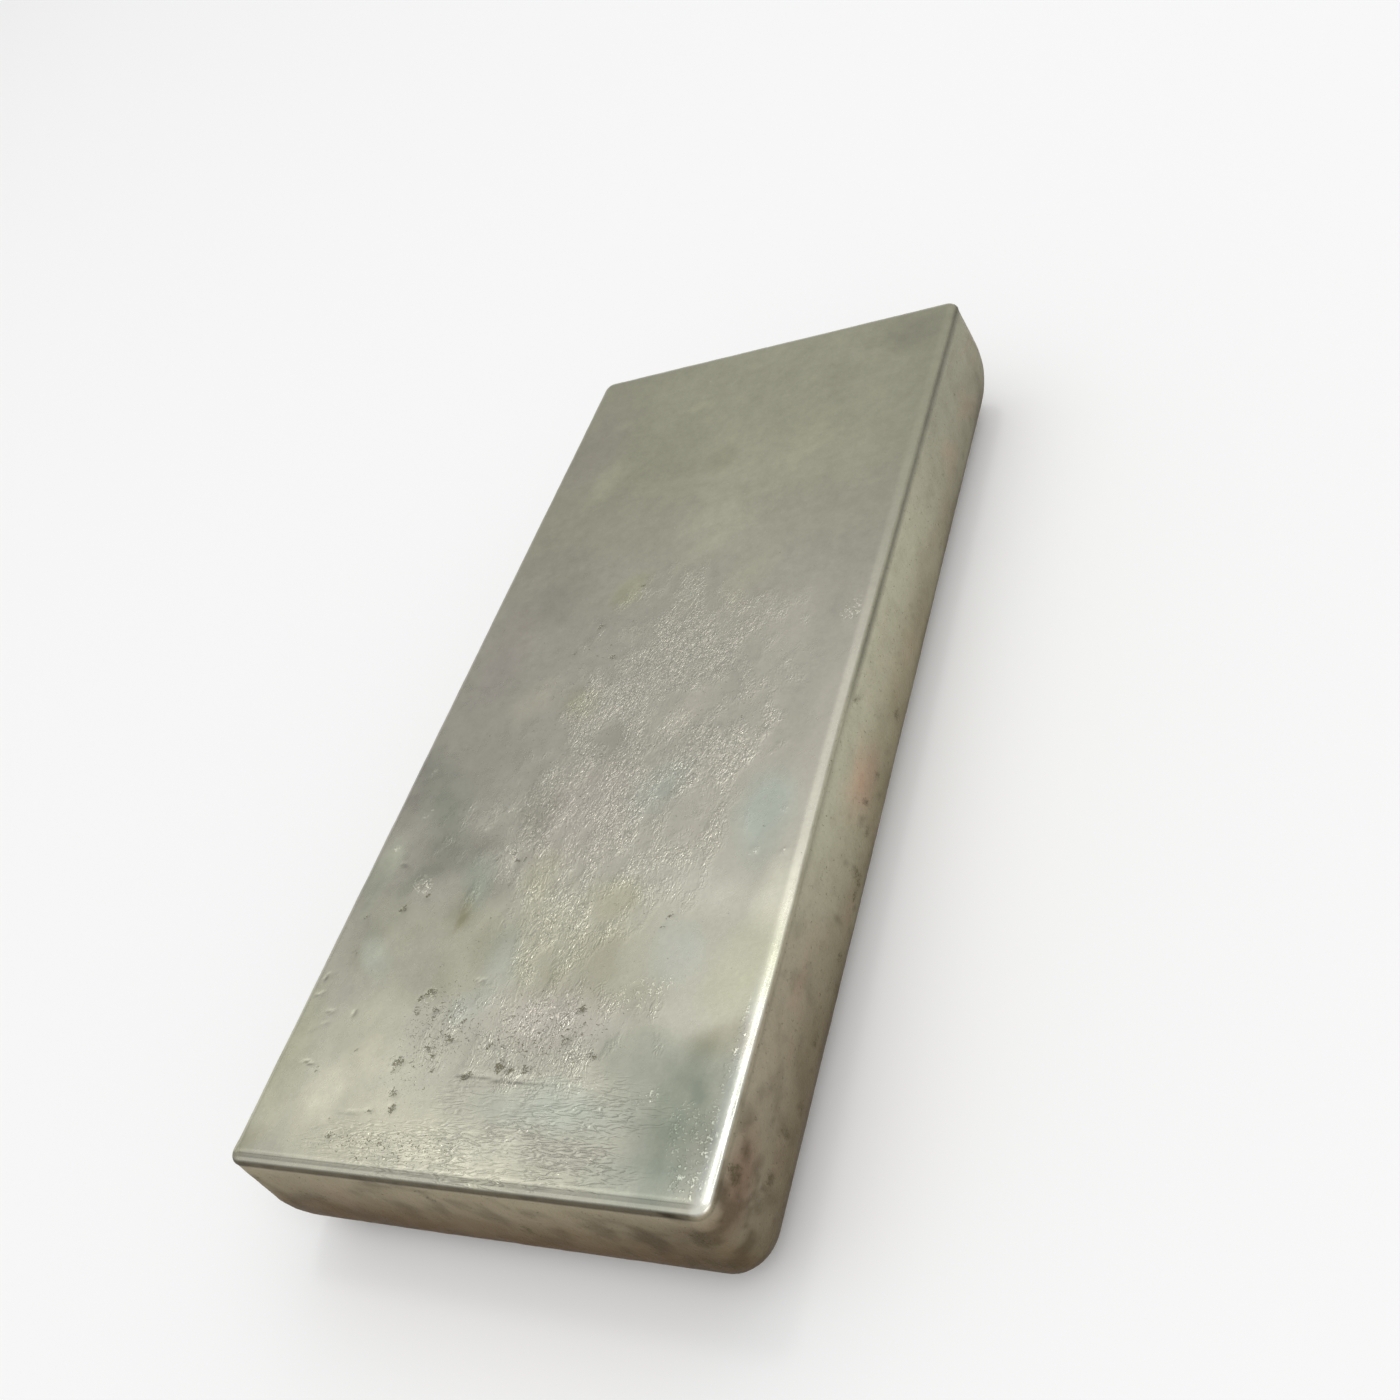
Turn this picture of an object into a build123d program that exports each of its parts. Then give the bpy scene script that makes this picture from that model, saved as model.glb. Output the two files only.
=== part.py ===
import os
from math import cos, pi, radians, sin, tan

from build123d import *

# An open-cast metal ingot, lying with the face from the bottom of its mould up.
# The frame's origin is the middle of the underside, +Z is up and +Y runs along the bar.
# All lengths are in millimetres.

# Mould face, the flat top, with its sharp corners
face_width = 78.0
face_length = 171.7
face_corner_radius = 0.4
thickness = 23.5

# Walls, which spread downwards, and their upright corners, which grow blunter with them
wall_draft_degrees = 6.0
rim_corner_radius = 2.1
foot_corner_radius = 6.4

# Rim, a shallow bevel round the mould face and the round that runs from it into the walls
rim_bevel_width = 1.3
rim_bevel_drop = 0.22
rim_round_radius = 0.95

# Edge of the cast surface, where the molten metal drew in from the mould
edge_inset = 9.0
edge_height = 13.8
edge_steps = 5

# Hollow that was left in the middle of the cast surface as the metal shrank
hollow_width = 40.0
hollow_length = 124.0
hollow_depth = 0.9

rim_height = thickness - rim_bevel_drop
round_reach = rim_round_radius * tan(radians(90 - wall_draft_degrees) / 2)
bevel_reach = rim_bevel_width + round_reach


def level_outline(height, inset=0):
    """Width, length and corner radius of the bar at a height, drawn in from the sloping walls."""
    drop = thickness - height
    growth = 2 * (drop * tan(radians(wall_draft_degrees)) - inset)
    corner_growth = (foot_corner_radius - rim_corner_radius) * drop / thickness
    return face_width + growth, face_length + growth, rim_corner_radius + corner_growth


# Hollow, a trough with round ends whose section is a shallow arc
with BuildPart() as hollow:
    hollow_run = (hollow_length - hollow_width) / 2
    with BuildSketch(Plane.XZ.offset(-hollow_run)) as half_section:
        with BuildLine():
            middle = (0, hollow_depth)
            brim = (hollow_width / 2, 0)
            TangentArc(middle, brim, tangent=(1, 0))
            Polyline(brim, (hollow_width / 2, -hollow_depth), (0, -hollow_depth), middle)
        make_face()
    revolve(half_section.sketch, axis=Axis((0, hollow_run, 0), (0, 0, 1)))
    extrude(half_section.sketch, amount=hollow_run)
    mirror(about=Plane.YZ)
    mirror(about=Plane.XZ)

with BuildPart() as ingot:
    # Rounded edge, a smooth skin up a quarter of an ellipse from the underside to the walls
    for step in range(edge_steps + 1):
        turn = pi / 2 * step / edge_steps
        height = edge_height * (1 - cos(turn))
        inset = edge_inset * (1 - sin(turn))
        with BuildSketch(Plane.XY.offset(height)):
            RectangleRounded(*level_outline(height, inset))
    loft()

    # Walls, straight from the rounded edge to the rim
    for height in (edge_height, rim_height):
        with BuildSketch(Plane.XY.offset(height)):
            RectangleRounded(*level_outline(height))
    loft(ruled=True)

    # Rim, a bevel up to the mould face whose outer edge is rolled over into the walls
    with BuildSketch(Plane.XY.offset(rim_height)):
        RectangleRounded(*level_outline(rim_height))
    with BuildSketch(Plane.XY.offset(thickness)):
        RectangleRounded(face_width - 2 * bevel_reach, face_length - 2 * bevel_reach, face_corner_radius)
    loft(ruled=True)
    rim_outline = ingot.edges().filter_by_position(Axis.Z, rim_height, rim_height)
    fillet(rim_outline, radius=rim_round_radius)

    # Underside
    add(hollow, mode=Mode.SUBTRACT)

os.makedirs("parts", exist_ok=True)
ingot.part.label = "ingot"
export_step(ingot.part, "parts/ingot.step")
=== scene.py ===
from math import cos, pi, radians, sin, tan

import bpy
import numpy as np
from mathutils import Matrix, Vector


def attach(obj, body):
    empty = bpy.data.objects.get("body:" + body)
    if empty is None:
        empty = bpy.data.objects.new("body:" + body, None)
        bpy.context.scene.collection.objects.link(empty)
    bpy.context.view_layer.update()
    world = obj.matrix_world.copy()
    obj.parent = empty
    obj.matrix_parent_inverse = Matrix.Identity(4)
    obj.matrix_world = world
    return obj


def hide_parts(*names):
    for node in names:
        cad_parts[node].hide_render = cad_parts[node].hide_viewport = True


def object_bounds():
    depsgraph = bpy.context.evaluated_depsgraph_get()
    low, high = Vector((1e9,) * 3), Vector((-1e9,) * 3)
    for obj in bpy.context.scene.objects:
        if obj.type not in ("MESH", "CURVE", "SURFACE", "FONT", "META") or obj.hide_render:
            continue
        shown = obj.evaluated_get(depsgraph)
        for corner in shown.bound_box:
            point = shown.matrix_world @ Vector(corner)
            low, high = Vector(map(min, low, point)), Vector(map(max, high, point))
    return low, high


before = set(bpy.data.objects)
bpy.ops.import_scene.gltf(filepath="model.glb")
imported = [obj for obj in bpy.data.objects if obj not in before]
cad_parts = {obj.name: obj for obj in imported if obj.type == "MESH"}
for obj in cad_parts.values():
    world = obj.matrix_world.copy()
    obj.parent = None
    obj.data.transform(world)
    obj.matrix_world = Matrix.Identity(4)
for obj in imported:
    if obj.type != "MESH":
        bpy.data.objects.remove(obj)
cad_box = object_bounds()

# An open-cast ingot of white metal, lying with its mould face up.
# Shapes are worked out in millimetres and only turned into metres where they enter Blender.
# x runs across the bar, y along it, away from the camera, and z up.
MM = 0.001

# Shape of the bar. Its sizes are the CAD part's, except that the rim's bevel is narrower here
FACE_WIDTH = 78.0
FACE_LENGTH = 171.7
FACE_CORNER = 0.4
THICKNESS = 23.5
DRAFT_ANGLE = radians(6.0)
DRAFT = tan(DRAFT_ANGLE)
WALL_LEAN = pi / 2 - DRAFT_ANGLE
RIM_CORNER = 2.1
FOOT_CORNER = 6.4
BEVEL_WIDTH = 0.7
BEVEL_DROP = 0.22
RIM_ROUND = 0.95
EDGE_INSET = 9.0
EDGE_HEIGHT = 13.8
HOLLOW_WIDTH = 40.0
HOLLOW_LENGTH = 124.0
HOLLOW_DEPTH = 0.9

# The rim of the left and far sides, which is one larger round from just below the mould face
SOFT_ROUND = 1.6
SOFT_ROUND_START = radians(3.0)

# How far the right wall's rim stands out near the camera, where that wall is steeper
FLARE = 0.6

# Mesh: cells across and along the mould face, closer together towards the camera, rows of points
# down the rim's round, the walls and the long round under them, and the gap between rim and walls
CELLS_ACROSS = 156
CELLS_ALONG = 348
CROWDING = 0.18
ROUND_ROWS = 8
WALL_ROWS = 10
EDGE_ROWS = 17
ROW_GAP = 0.05


# Random fields

# Number of random directions that a noise uses, a power of two, and the factor that brings its
# values to between about -1 and 1
NOISE_TABLE = 256
NOISE_GAIN = 1.7


def noise(points, cell, seed):
    """Smooth random values, nearly all between -1 and 1, whose lumps are about one cell across.

    cell is one size in mm, or one for each axis.
    """
    rng = np.random.default_rng(seed)
    order = rng.permutation(NOISE_TABLE)
    slopes = rng.normal(size=(NOISE_TABLE, 3))
    slopes /= np.linalg.norm(slopes, axis=1, keepdims=True)
    place = points / np.asarray(cell, dtype=float) + rng.uniform(0, 50, 3)
    corner = np.floor(place).astype(int)
    inside = place - corner
    fade = inside ** 3 * (inside * (inside * 6 - 15) + 10)
    wrap = NOISE_TABLE - 1
    total = np.zeros(len(points))
    for step in np.ndindex(2, 2, 2):
        step = np.array(step)
        key = (corner + step) & wrap
        slot = order[(order[key[:, 0]] + key[:, 1]) & wrap]
        slot = order[(slot + key[:, 2]) & wrap]
        share = np.prod(np.where(step, fade, 1 - fade), axis=1)
        total += share * np.sum(slopes[slot] * (inside - step), axis=1)
    return total * NOISE_GAIN


def cloud(points, cell, seed, octaves=3):
    """Noise with finer noise on top, each octave half as large and half as strong."""
    total = np.zeros(len(points))
    for octave in range(octaves):
        total += noise(points, np.asarray(cell) / 2 ** octave, seed + octave) / 2 ** octave
    return total


def drift(points, cell, seeds, reach, octaves=1):
    """The points, each moved by up to about the reach along x and y, which gives spots wavy edges."""
    moves = [cloud(points, cell, seed, octaves) for seed in seeds]
    return points + reach * np.column_stack([*moves, np.zeros(len(points))])


def smooth(value, low, high):
    """0 below low, 1 above high and a soft step between them."""
    share = np.clip((value - low) / (high - low), 0, 1)
    return share * share * (3 - 2 * share)


def plateau(value, rise, level_from, level_to, fall):
    """0 below rise and above fall, 1 between the levels, and soft steps between those."""
    return smooth(value, rise, level_from) * (1 - smooth(value, level_to, fall))


def blend(first, second, share):
    """Rows of values between two, each row with its own share of the second."""
    share = share[:, None]
    return first * (1 - share) + second * share


def spot(points, x, y, length, width, turn=0.0, softness=1.0):
    """How much of each point lies in an oval spot, 1 in its middle and 0 outside it."""
    dx, dy = points[:, 0] - x, points[:, 1] - y
    along = dx * cos(radians(turn)) + dy * sin(radians(turn))
    across = dy * cos(radians(turn)) - dx * sin(radians(turn))
    reach = np.hypot(along / (length / 2), across / (width / 2))
    return 1 - smooth(reach, 1 - softness, 1)


def spots(points, table):
    """Sum of a table's spots: x, y, length, width, softness and strength."""
    return sum(strength * spot(points, x, y, length, width, softness=softness)
               for x, y, length, width, softness, strength in table)


# Rows of points round the bar

def side(share, half_run, radius):
    """Places on one side of a rounded rectangle, from the middle of one corner to that of the next.

    share runs from -1 to 1. The result is how far each place is from the side's middle, and how far
    the corner has drawn it in from the side's line.
    """
    straight = half_run - radius
    walked = share * (straight + radius * pi / 4)
    angle = np.clip(np.abs(walked) - straight, 0, None) / radius
    run = np.sign(walked) * (np.minimum(np.abs(walked), straight) + radius * np.sin(angle))
    return run, radius * (1 - np.cos(angle))


def ring(half_width, half_length, radius, height, across, along):
    """A closed row of points, anticlockwise from the corner at -x -y."""
    front, front_in = side(across[:-1], half_width, radius)
    right, right_in = side(along[:-1], half_length, radius)
    back, back_in = side(across[:0:-1], half_width, radius)
    left, left_in = side(along[:0:-1], half_length, radius)
    x = np.concatenate([front, half_width - right_in, back, left_in - half_width])
    y = np.concatenate([front_in - half_length, right, half_length - back_in, left])
    return np.column_stack([x, y, np.full(len(x), float(height))])


def level(height, inset=0.0):
    """Half width, half length and corner radius of the walls at a height, drawn in by the inset."""
    drop = THICKNESS - height
    growth = drop * DRAFT - inset
    corner = RIM_CORNER + (FOOT_CORNER - RIM_CORNER) * drop / THICKNESS
    return FACE_WIDTH / 2 + growth, FACE_LENGTH / 2 + growth, corner


# Rows down the bevel: distance out from the mould face's edge and depth below the plain bevel. The
# near side has a groove between two thin crests, and the right side grows steeper outwards
NEAR_CREASE = (
    (0.06, 0.02), (0.20, 0.07), (0.27, 0.085), (0.34, 0.08), (0.60, 0.02), (0.70, 0.0), (0.82, 0.0),
)
RIGHT_CREASE = (
    (0.1, 0.0), (0.2, 0.0), (0.3, 0.0), (0.42, 0.003), (0.54, 0.009), (0.67, 0.018), (0.82, 0.037),
)

# Where the rim of one side turns into the next one's: distances from the middle of the bar
NEAR_RIM = (83.6, 84.2)
RIGHT_RIM = (36.5, 37.5)
LEFT_RIM = (34.0, 38.0)
LEFT_RIM_END = (79.0, 85.5)
FAR_RIM = (79.0, 85.0)
FAR_SOFTNESS = 0.7


def crisp_rim(crease):
    """Offset outwards from the mould face's line, and height, of the rows from the face to the wall.

    They belong to the right and near sides, where a bevel with a crease runs into a small round.
    """
    reach = BEVEL_WIDTH + RIM_ROUND * tan(WALL_LEAN / 2)
    fall = np.arctan2(BEVEL_DROP, reach + BEVEL_DROP * DRAFT)
    tangent = RIM_ROUND * tan((WALL_LEAN - fall) / 2)
    corner_out = BEVEL_DROP * DRAFT
    corner_height = THICKNESS - BEVEL_DROP
    start = np.array([corner_out - tangent * cos(fall), corner_height + tangent * sin(fall)])
    centre = start - RIM_ROUND * np.array([sin(fall), cos(fall)])
    rows = [np.array([-reach, THICKNESS])]
    for width, drop in crease:
        rows.append(np.array([-reach + width, THICKNESS - width * tan(fall) - drop]))
    for share in np.linspace(0, 1, ROUND_ROWS + 1):
        angle = fall + share * (WALL_LEAN - fall)
        sag = crease[-1][1] * (1 - share ** 2)
        rows.append(centre + RIM_ROUND * np.array([sin(angle), cos(angle)]) - np.array([0, sag]))
    return rows


def soft_rim():
    """The same rows for the left and far sides, where the rim is one larger round."""
    centre = np.array([-SOFT_ROUND * tan(WALL_LEAN / 2), THICKNESS - SOFT_ROUND])
    rows = [crisp_rim(RIGHT_CREASE)[0]]
    for angle in np.linspace(SOFT_ROUND_START, WALL_LEAN, len(RIGHT_CREASE) + ROUND_ROWS + 1):
        rows.append(centre + SOFT_ROUND * np.array([sin(angle), cos(angle)]))
    return rows


def rim_rings(across, along):
    """Closed rows of points from the mould face to the walls, the face's own edge first."""
    rings = []
    for profile in zip(crisp_rim(RIGHT_CREASE), crisp_rim(NEAR_CREASE), soft_rim()):
        versions = []
        for out, height in profile:
            # the corner grows from the mould face's to the walls'
            share = smooth(out, -BEVEL_WIDTH - RIM_ROUND, 0.1)
            corner = FACE_CORNER + share * (RIM_CORNER - FACE_CORNER)
            half_sizes = FACE_WIDTH / 2 + out, FACE_LENGTH / 2 + out
            versions.append(ring(*half_sizes, corner, height, across, along))
        right, near, soft = versions
        x, y = right[:, 0], right[:, 1]
        nearness = smooth(-y, *NEAR_RIM) * (1 - smooth(x, *RIGHT_RIM))
        softness = smooth(-x, *LEFT_RIM) * (1 - smooth(-y, *LEFT_RIM_END))
        softness = np.clip(softness + FAR_SOFTNESS * smooth(y, *FAR_RIM), 0, 1)
        rings.append(blend(blend(right, near, nearness), soft, softness))
    return rings


def grid_on(edge, count_across, count_along):
    """Fills a closed row of points with a grid, its rows blended from the four sides."""
    corners = np.cumsum([0, count_across, count_along, count_across])
    front = edge[corners[0]:corners[1] + 1]
    right = edge[corners[1]:corners[2] + 1]
    back = edge[corners[2]:corners[3] + 1][::-1]
    left = np.vstack([edge[corners[3]:], edge[:1]])[::-1]
    u = (np.arange(count_across + 1) / count_across)[None, :, None]
    share = (left[:, 1] - left[0, 1]) / (left[-1, 1] - left[0, 1])
    v = share[:, None, None]
    sides = (1 - v) * front[None] + v * back[None] + (1 - u) * left[:, None] + u * right[:, None]
    bilinear = ((1 - u) * (1 - v) * front[0] + u * (1 - v) * front[-1]
                + (1 - u) * v * back[0] + u * v * back[-1])
    return (sides - bilinear).reshape(-1, 3)


def grid_edge(count_across, count_along):
    """Indices of a grid's outer points, in the order of a ring."""
    number = np.arange((count_across + 1) * (count_along + 1)).reshape(count_along + 1, -1)
    return np.concatenate([number[0, :-1], number[:-1, -1], number[-1, :0:-1], number[:0:-1, 0]])


def grid_faces(count_across, count_along, first, downwards=False):
    """Four-sided faces of a grid whose points start at index first."""
    number = first + np.arange((count_across + 1) * (count_along + 1)).reshape(count_along + 1, -1)
    a, b, c, d = number[:-1, :-1], number[:-1, 1:], number[1:, 1:], number[1:, :-1]
    order = (a, d, c, b) if downwards else (a, b, c, d)
    return np.stack(order, axis=-1).reshape(-1, 4)


def band(upper, lower):
    """Four-sided faces between two rows of as many points."""
    return np.column_stack([upper, lower, np.roll(lower, -1), np.roll(upper, -1)])


def thinning(upper, lower):
    """Triangles between a row of points and the next row with half as many."""
    first, middle, last = upper[::2], upper[1::2], np.roll(upper[::2], -1)
    after = np.roll(lower, -1)
    return np.vstack([
        np.column_stack([first, lower, middle]),
        np.column_stack([middle, lower, after]),
        np.column_stack([middle, after, last]),
    ])


def bar_mesh():
    """Points of the plain bar, in mm, and its faces."""
    across = np.linspace(-1, 1, CELLS_ACROSS + 1)
    along = np.linspace(-1, 1, CELLS_ALONG + 1)
    along = along + CROWDING * (along ** 2 - 1)
    points, faces, count = [], [], 0

    def place(row):
        """Adds a row of points, and gives their indices."""
        nonlocal count
        points.append(row)
        count += len(row)
        return np.arange(count - len(row), count)

    # mould face
    rim = rim_rings(across, along)
    place(grid_on(rim[0], CELLS_ACROSS, CELLS_ALONG))
    faces.extend(grid_faces(CELLS_ACROSS, CELLS_ALONG, 0).tolist())
    last = grid_edge(CELLS_ACROSS, CELLS_ALONG)

    # rim
    for row in rim[1:]:
        now = place(row)
        faces.extend(band(last, now).tolist())
        last = now

    # walls and the long round under them, with half as many points in a row
    across, along = across[::2], along[::2]
    heights = np.linspace(soft_rim()[-1][1] - ROW_GAP, EDGE_HEIGHT, WALL_ROWS + 1)
    levels = [(height, 0.0) for height in heights]
    for turn in np.linspace(pi / 2, 0, EDGE_ROWS + 1)[1:]:
        levels.append((EDGE_HEIGHT * (1 - cos(turn)), EDGE_INSET * (1 - sin(turn))))
    for number, (height, inset) in enumerate(levels):
        foot = ring(*level(height, inset), height, across, along)
        if number < len(levels) - 1:
            now = place(foot)
            faces.extend((band(last, now) if number else thinning(last, now)).tolist())
            last = now

    # underside
    start = place(grid_on(foot, CELLS_ACROSS // 2, CELLS_ALONG // 2))[0]
    faces.extend(grid_faces(CELLS_ACROSS // 2, CELLS_ALONG // 2, start, downwards=True).tolist())
    faces.extend(band(last, start + grid_edge(CELLS_ACROSS // 2, CELLS_ALONG // 2)).tolist())
    return np.vstack(points), faces


# Relief of the cast skin

# Heights of its forms, and how deep the plain skin lies under the bar's sharp outline
WORM_HEIGHT = 0.028
WRINKLE_HEIGHT = 0.04
WAVE_HEIGHT = 0.03
GRIT_HEIGHT = 0.03
STEP_HEIGHT = 0.05
FACE_DEPTH = 0.10
WALL_DEPTH = 0.02
WALL_SWELL = 0.10
WALL_DIMPLE = 0.035
RIM_DEPTH = 0.02
RIM_RIPPLE = 0.03
FOLD_HEIGHT = 0.05

# Straight step that a fold left in the skin, across the bar
STEP_Y = -71.5

# Heights between which the walls' skin turns into the rim's, and how far out from the underside's
# hollow its folds reach, as multiples of its half width
RIM_ZONE = (22.0, 22.8)
FOLD_ZONE = (1.05, 1.45)

# Where the mould face has its worm-like wrinkles, its wrinkles along the near edge and its fine pits:
# x, y, length, width, softness and strength
WORM_SPOTS = (
    (3, -14, 62, 104, 0.75, 1.0), (6, -42, 54, 32, 0.8, 0.45), (7, -64, 52, 26, 0.7, 0.85),
    (-22, -30, 22, 30, 0.8, 0.35), (26, -8, 20, 70, 0.8, 0.4),
)
WRINKLE_SPOTS = ((2, -81.5, 66, 11, 0.6, 1.0), (12, -75, 50, 16, 0.8, 0.6))
PIT_SPOTS = (
    (-12, -67, 22, 34, 0.8, 0.42), (7, -65, 38, 20, 0.8, 0.46), (-10, -81.5, 52, 8, 0.8, 0.48),
    (0, -20, 70, 110, 0.6, 0.25),
)

# Small pits in the mould face: x, y, radius and depth
PITS = (
    (25.5, 76.5, 0.5, 0.08), (21.6, 68.6, 0.45, 0.06), (18.8, 53.0, 0.5, 0.08),
    (-20.9, 51.9, 0.5, 0.07), (6.5, 55.2, 0.45, 0.06), (4.8, 33.4, 0.5, 0.07), (-12.1, 11.8, 0.7, 0.12),
    (-15.2, 6.0, 0.6, 0.12), (-6.9, 4.0, 0.8, 0.12), (-7.9, 6.8, 0.6, 0.08), (-0.2, -0.6, 0.5, 0.10),
    (-6.6, 20.6, 0.5, 0.08), (-9.0, -36.4, 0.7, 0.16), (-10.1, -34.9, 0.5, 0.10),
    (-7.5, -36.2, 0.5, 0.10), (-23.7, -42.5, 0.6, 0.12), (-27.3, -44.9, 0.9, 0.14),
    (-34.2, -46.1, 0.5, 0.08), (-33.2, -52.3, 0.5, 0.10), (-34.2, -65.7, 0.5, 0.10),
    (-14.8, -58.8, 1.0, 0.14), (-16.2, -59.6, 0.8, 0.10), (-15.9, -61.7, 0.7, 0.10),
    (-12.5, -61.7, 0.8, 0.12), (-6.7, -63.0, 0.6, 0.10), (-7.6, -65.9, 0.8, 0.12),
    (-11.0, -67.3, 0.7, 0.12), (-9.3, -68.3, 0.6, 0.14), (-15.0, -69.5, 0.9, 0.14),
    (-15.3, -70.8, 0.7, 0.10), (-8.5, -70.4, 0.7, 0.08), (-13.6, -74.2, 1.0, 0.12),
    (-13.0, -76.3, 0.9, 0.14), (-16.3, -76.9, 0.7, 0.12), (-21.9, -80.8, 0.6, 0.16),
    (-23.0, -78.5, 0.5, 0.08), (-29.7, -71.5, 0.6, 0.10), (-23.7, -68.0, 0.5, 0.08),
    (12.5, -60.7, 0.8, 0.14), (2.5, -69.3, 1.1, 0.12), (-0.4, -66.2, 0.7, 0.10),
    (6.9, -69.5, 0.8, 0.12), (11.8, -65.0, 0.9, 0.12), (17.0, -67.1, 0.9, 0.10),
    (-2.2, -71.1, 1.0, 0.12), (21.5, -46.1, 0.6, 0.10), (20.6, -47.6, 0.5, 0.10),
    (4.4, -69.8, 0.8, 0.10),
)

# Pitted places on the near wall (x, z and size) and on the right wall (y, z and size)
NEAR_WALL_PITS = (
    (-26.1, 15.7, 2.4), (8.8, 14.4, 2.2), (-34.2, 13.4, 1.6), (-7.8, 9.9, 2.0), (1.7, 10.5, 2.2),
    (-36.0, 18.8, 1.4), (20.5, 12.6, 2.0), (23.0, 11.3, 2.6), (28.0, 12.6, 2.2), (31.5, 11.0, 3.0),
    (35.0, 12.0, 3.4), (37.5, 10.5, 3.0), (13.5, 10.8, 2.0), (-4.2, 19.9, 1.6), (36.5, 17.5, 4.5),
)
RIGHT_WALL_PITS = (
    (-8.0, 21.0, 1.6), (-15.0, 11.0, 2.2), (-20.0, 12.5, 1.4), (-31.0, 9.3, 3.2), (-34.0, 9.0, 1.6),
    (54.5, 15.0, 1.4), (-70.0, 11.5, 1.6), (-76.0, 12.5, 2.2), (-66.0, 9.5, 2.2), (-2.0, 9.6, 2.4),
    (-57.0, 10.0, 1.6), (-79.5, 20.6, 3.0), (-44.0, 8.6, 2.0), (-24.0, 10.2, 1.2),
)

# Small lumps that stand on the mould face: x, y, radius and height
LUMPS = (
    (-34.9, -18.0, 0.9, 0.05), (-31.5, -26.4, 0.8, 0.05), (-34.9, -33.1, 1.0, 0.06),
    (36.1, 9.4, 0.9, 0.05), (-26.8, -39.6, 1.2, 0.06), (-25.2, -41.0, 1.0, 0.05),
    (31.2, -35.8, 0.8, 0.05), (36.0, -36.2, 0.8, 0.06), (34.4, -29.1, 0.8, 0.04),
    (1.5, -38.0, 0.9, 0.05), (17.6, -25.0, 0.8, 0.04), (12.0, -38.5, 0.8, 0.04),
)

# Scars, most of them near the left edge: x, y, length, width, turn in degrees and depth
SCARS = (
    (-36.3, -56.6, 2.6, 0.9, 55.0, 0.07), (-36.2, -59.6, 2.4, 0.8, 20.0, 0.06),
    (-32.4, -62.4, 3.4, 0.8, 12.0, 0.05), (-32.2, -64.4, 3.0, 0.7, 10.0, 0.04),
    (-27.4, -62.6, 2.8, 0.8, 75.0, 0.06), (-32.0, -70.6, 4.6, 0.7, 176.0, 0.07),
    (-31.5, -36.6, 4.0, 0.7, 160.0, 0.05), (-20.0, -77.4, 9.0, 0.6, 178.0, 0.03),
    (-8.0, -66.4, 5.0, 0.6, 8.0, 0.05), (-6.5, -56.9, 4.0, 0.8, 165.0, 0.05),
)

# Crusty places: x, y, length, width, turn in degrees and strength
CRUSTS = (
    (26.6, -72.0, 4.6, 3.0, 20.0, 0.8), (35.0, -80.6, 5.2, 2.6, 130.0, 1.0),
    (36.6, -77.0, 2.8, 14.0, 0.0, 1.0), (36.8, -83.0, 3.4, 3.4, 0.0, 1.0),
    (37.2, -65.0, 1.8, 16.0, 0.0, 0.8), (-14.6, -59.4, 5.0, 3.6, 0.0, 0.5),
    (-25.8, -40.4, 6.0, 3.4, 140.0, 0.8), (35.6, 8.4, 3.6, 6.0, 0.0, 0.5),
    (20.0, -58.4, 14.0, 5.0, 25.0, 0.6), (8.0, -61.0, 12.0, 6.0, 0.0, 0.5),
    (34.0, -77.0, 6.0, 12.0, 20.0, 0.5), (17.0, -71.0, 6.0, 3.0, 0.0, 0.5),
    (35.2, -82.0, 6.0, 4.0, 0.0, 1.0),
)


def worm_zone(points):
    """How thickly the fine worm-like wrinkles of the casting lie, from 0 to 1."""
    broken = smooth(cloud(points, (9, 13, 9), 11), -0.35, 0.55)
    veins = smooth(cloud(points, (3.4, 5.2, 4), 17, 2), -0.3, 0.5)
    return np.clip(spots(points, WORM_SPOTS), 0, 1) * (0.35 + 0.65 * broken) * (0.4 + 0.6 * veins)


def wrinkle_zone(points):
    """How thickly the wrinkles lie that run along the near edge of the mould face, from 0 to 1."""
    broken = smooth(cloud(points, (7, 4, 5), 15, 2), -0.5, 0.4)
    return np.clip(spots(points, WRINKLE_SPOTS), 0, 1) * (0.3 + 0.7 * broken)


def crust_zone(points):
    """How crusty the skin is, from 0 to 1."""
    moved = drift(points, 2.2, (25, 26), 0.8)
    total = np.zeros(len(points))
    for x, y, length, width, turn, strength in CRUSTS:
        total = np.maximum(total, strength * spot(moved, x, y, length, width, turn, 0.6))
    for x, y, radius, _ in LUMPS:
        total = np.maximum(total, 0.6 * spot(moved, x, y, 2.4 * radius, 2.4 * radius))
    return total


def pit_zone(points):
    """How pitted the mould face is, from 0 to 1."""
    moved = drift(points, 1.6, (27, 28), 0.6)
    total = spots(points, PIT_SPOTS)
    for x, y, radius, depth in PITS:
        pit = spot(moved, x, y, 2.6 * radius, 2.0 * radius, softness=0.6)
        total = np.maximum(total, 9 * depth * pit)
    return np.clip(total, 0, 1)


def wall_pit_zone(points):
    """How pitted the near and right walls are, from 0 to 1."""
    x, y, z = points.T
    moves = 0.7 * np.column_stack([noise(points, 1.4, 29), noise(points, 1.4, 30)])
    walls = (
        (NEAR_WALL_PITS, x, smooth(-y, 82, 84)),
        (RIGHT_WALL_PITS, y, smooth(x, 36, 38)),
    )
    total = np.zeros(len(points))
    for pits, run, wall_share in walls:
        flat = np.column_stack([run, z]) + moves
        for place, height, size in pits:
            pit = spot(flat, place, height, size, 1.5 * size, softness=0.8)
            total = np.maximum(total, wall_share * pit)
    return total


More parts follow.
